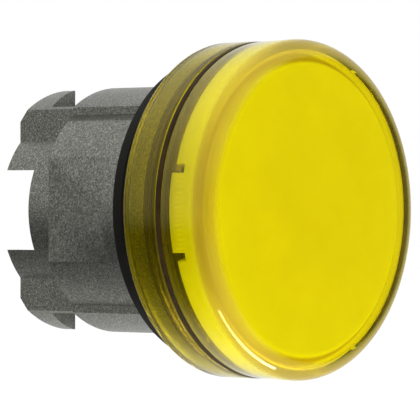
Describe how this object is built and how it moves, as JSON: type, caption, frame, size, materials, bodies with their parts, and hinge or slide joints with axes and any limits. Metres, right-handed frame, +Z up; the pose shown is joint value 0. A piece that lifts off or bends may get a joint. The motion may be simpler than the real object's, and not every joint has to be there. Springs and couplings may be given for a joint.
{
  "type": "pilot light head",
  "caption": "Round indicator lamp head for a panel hole: clear domed lens over a coloured diffuser, sealing gasket and die-cast bayonet barrel.",
  "frame": {"origin": "on the axis, in the plane of the panel's front face, where the rear of the gasket seats", "axes": "+Y along the axis towards the rear of the panel, -Y out of the lens, +Z up"},
  "size_m": [0.029, 0.0288, 0.029],
  "materials": {
    "cast_zinc": "grey as-cast zinc alloy, fine grain",
    "gasket_rubber": "black matt rubber",
    "seal_rubber": "black rubber",
    "white_plastic": "white satin plastic",
    "spring_steel": "bright spring steel",
    "diffuser_yellow": "bright yellow translucent plastic",
    "lens_clear": "clear yellow polished plastic"
  },
  "bodies": {
    "head": {"barrel": "cast_zinc", "panel_gasket": "gasket_rubber", "reflector_sleeve": "white_plastic", "ring_seal": "seal_rubber", "lens_ring": "lens_clear", "retaining_clip": "spring_steel", "cap_seal": "seal_rubber"},
    "diffuser_cup": {"diffuser": "diffuser_yellow"},
    "cap": {"lens_cap": "lens_clear"}
  },
  "joints": [
    {"name": "diffuser_lift", "type": "slide", "parent": "head", "child": "diffuser_cup", "axis": [0, -1, 0], "range_m": [0, 0.001]},
    {"name": "cap_turn", "type": "hinge", "parent": "diffuser_cup", "child": "cap", "pos_m": [0, 0, 0], "axis": [0, -1, 0], "range_deg": [0, 60]}
  ],
  "couplings": [
    {"joint": "cap_turn", "follows": "diffuser_lift", "rad_per_m": 1047.2}
  ]
}
